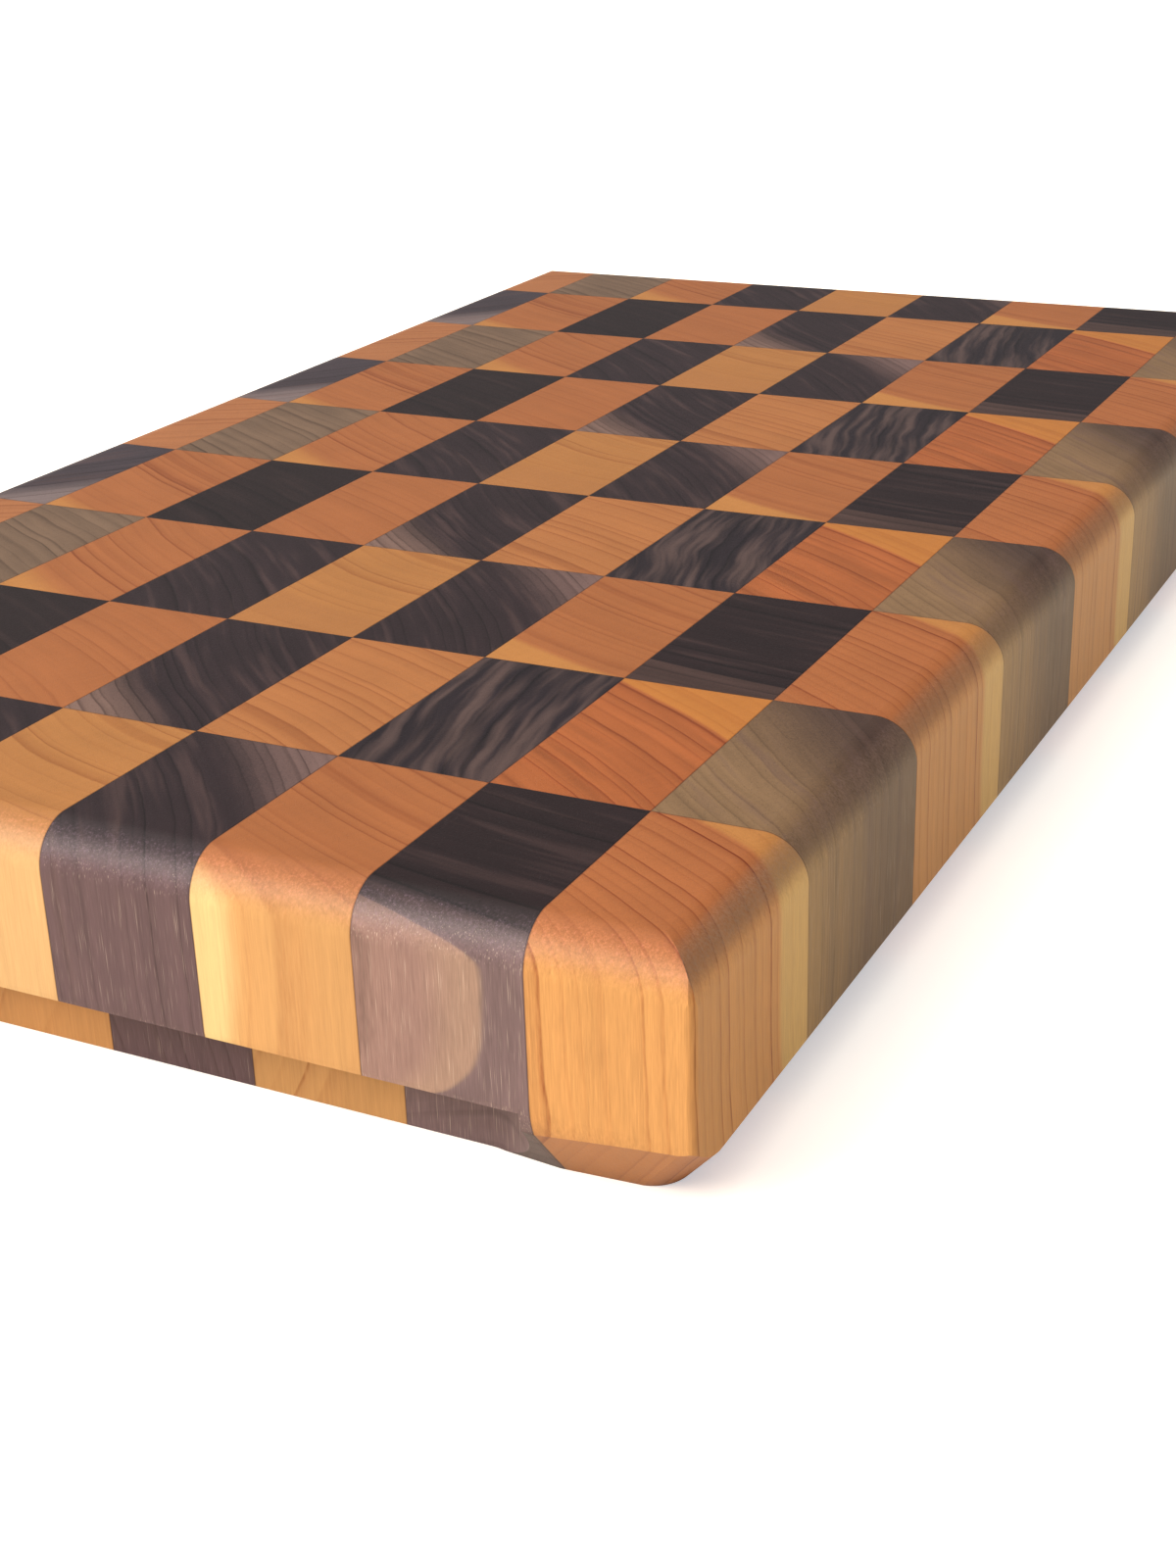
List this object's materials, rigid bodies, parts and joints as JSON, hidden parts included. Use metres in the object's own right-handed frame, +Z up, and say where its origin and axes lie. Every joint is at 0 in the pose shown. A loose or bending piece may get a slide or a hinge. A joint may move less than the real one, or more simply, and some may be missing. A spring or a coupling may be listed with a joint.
{
  "type": "end-grain cutting board",
  "caption": "Rectangular end-grain chequered butcher's board with rounded top edges, bevelled underside edges and a finger grip rebated under each end.",
  "frame": {"origin": "middle of the underside, on the plane that the board rests on", "axes": "+Z up out of the work face and along every block's grain, +X across the board, +Y along it from the near end to the far end"},
  "size_m": [0.203, 0.356, 0.0375],
  "materials": {
    "cherry": "end grain and edge grain, sanded and oiled, satin",
    "walnut": "end grain and edge grain, sanded and oiled, satin",
    "sap_walnut": "grey-brown walnut with pale sapwood, sanded and oiled, satin"
  },
  "bodies": {
    "root": {"a1_cherry_blocks": "cherry", "a2_walnut_blocks": "sap_walnut", "a3_cherry_blocks": "cherry", "a4_walnut_blocks": "walnut", "a5_cherry_blocks": "cherry", "a6_walnut_blocks": "walnut", "a7_cherry_blocks": "cherry", "a8_walnut_blocks": "walnut", "a9_cherry_blocks": "cherry", "b1_walnut_blocks": "walnut", "b2_cherry_blocks": "cherry", "b3_walnut_blocks": "walnut", "b4_cherry_blocks": "cherry", "b5_walnut_blocks": "walnut", "b6_cherry_blocks": "cherry", "b7_walnut_blocks": "walnut", "b8_cherry_blocks": "cherry", "b9_walnut_blocks": "sap_walnut", "near_1_cherry_corner": "cherry", "near_2_walnut_grip": "sap_walnut", "near_3_cherry_grip": "cherry", "near_4_walnut_grip": "walnut", "near_5_cherry_grip": "cherry", "near_6_walnut_grip": "walnut", "near_7_cherry_grip": "cherry", "near_8_walnut_grip": "walnut", "near_9_cherry_corner": "cherry", "far_1_cherry_corner": "cherry", "far_2_walnut_grip": "sap_walnut", "far_3_cherry_grip": "cherry", "far_4_walnut_grip": "walnut", "far_5_cherry_grip": "cherry", "far_6_walnut_grip": "walnut", "far_7_cherry_grip": "cherry", "far_8_walnut_grip": "walnut", "far_9_cherry_corner": "cherry"}
  },
  "joints": []
}
